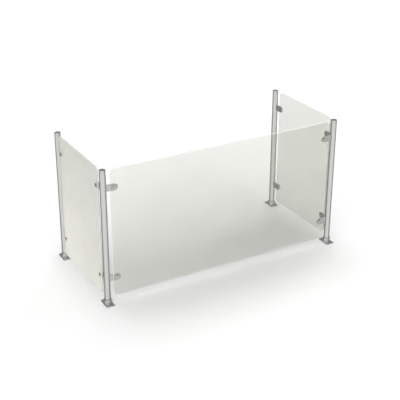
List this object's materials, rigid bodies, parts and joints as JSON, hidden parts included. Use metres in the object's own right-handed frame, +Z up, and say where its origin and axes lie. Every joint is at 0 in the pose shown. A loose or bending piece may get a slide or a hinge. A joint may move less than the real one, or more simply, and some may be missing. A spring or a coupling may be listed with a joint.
{
  "type": "glass desk screen",
  "caption": "U-shaped desk screen of clear glass panels clamped between round steel posts on screw-down base flanges, open at the rear.",
  "frame": {"origin": "on the desk surface, at the middle of the rectangle of the four base flanges", "axes": "+X along the long front panel, +Y from the front panel to the open rear side, +Z up"},
  "size_m": [1.383, 0.63, 0.725],
  "materials": {
    "brushed_steel_post": "satin, fine grain round the tube",
    "brushed_steel_fitting": "satin",
    "polished_screw": "bright turned steel",
    "clear_glass": "clear toughened glass with ground and polished edges, faint green",
    "nylon_bush": "matt translucent nylon"
  },
  "bodies": {
    "root": {"base_flange_front_left": "brushed_steel_fitting", "base_flange_front_right": "brushed_steel_fitting", "base_flange_rear_left": "brushed_steel_fitting", "base_flange_rear_right": "brushed_steel_fitting", "base_screw_front_left_front": "polished_screw", "base_screw_front_left_rear": "polished_screw", "base_screw_front_right_front": "polished_screw", "base_screw_front_right_rear": "polished_screw", "base_screw_rear_left_front": "polished_screw", "base_screw_rear_left_rear": "polished_screw", "base_screw_rear_right_front": "polished_screw", "base_screw_rear_right_rear": "polished_screw", "clamp_arm_front_left_lower": "brushed_steel_fitting", "clamp_arm_front_left_upper": "brushed_steel_fitting", "clamp_arm_front_right_lower": "brushed_steel_fitting", "clamp_arm_front_right_upper": "brushed_steel_fitting", "clamp_arm_left_front_lower": "brushed_steel_fitting", "clamp_arm_left_front_upper": "brushed_steel_fitting", "clamp_arm_left_rear_lower": "brushed_steel_fitting", "clamp_arm_left_rear_upper": "brushed_steel_fitting", "clamp_arm_right_front_lower": "brushed_steel_fitting", "clamp_arm_right_front_upper": "brushed_steel_fitting", "clamp_arm_right_rear_lower": "brushed_steel_fitting", "clamp_arm_right_rear_upper": "brushed_steel_fitting", "clamp_screw_front_left_lower": "polished_screw", "clamp_screw_front_left_upper": "polished_screw", "clamp_screw_front_right_lower": "polished_screw", "clamp_screw_front_right_upper": "polished_screw", "clamp_screw_left_front_lower": "polished_screw", "clamp_screw_left_front_upper": "polished_screw", "clamp_screw_left_rear_lower": "polished_screw", "clamp_screw_left_rear_upper": "polished_screw", "clamp_screw_right_front_lower": "polished_screw", "clamp_screw_right_front_upper": "polished_screw", "clamp_screw_right_rear_lower": "polished_screw", "clamp_screw_right_rear_upper": "polished_screw", "glass_bush_front_left_lower": "nylon_bush", "glass_bush_front_left_upper": "nylon_bush", "glass_bush_front_right_lower": "nylon_bush", "glass_bush_front_right_upper": "nylon_bush", "glass_bush_left_front_lower": "nylon_bush", "glass_bush_left_front_upper": "nylon_bush", "glass_bush_left_rear_lower": "nylon_bush", "glass_bush_left_rear_upper": "nylon_bush", "glass_bush_right_front_lower": "nylon_bush", "glass_bush_right_front_upper": "nylon_bush", "glass_bush_right_rear_lower": "nylon_bush", "glass_bush_right_rear_upper": "nylon_bush", "glass_front": "clear_glass", "glass_left": "clear_glass", "glass_right": "clear_glass", "post_cap_front_left": "brushed_steel_fitting", "post_cap_front_right": "brushed_steel_fitting", "post_cap_rear_left": "brushed_steel_fitting", "post_cap_rear_right": "brushed_steel_fitting", "post_tube_front_left": "brushed_steel_post", "post_tube_front_right": "brushed_steel_post", "post_tube_rear_left": "brushed_steel_post", "post_tube_rear_right": "brushed_steel_post"}
  },
  "joints": []
}
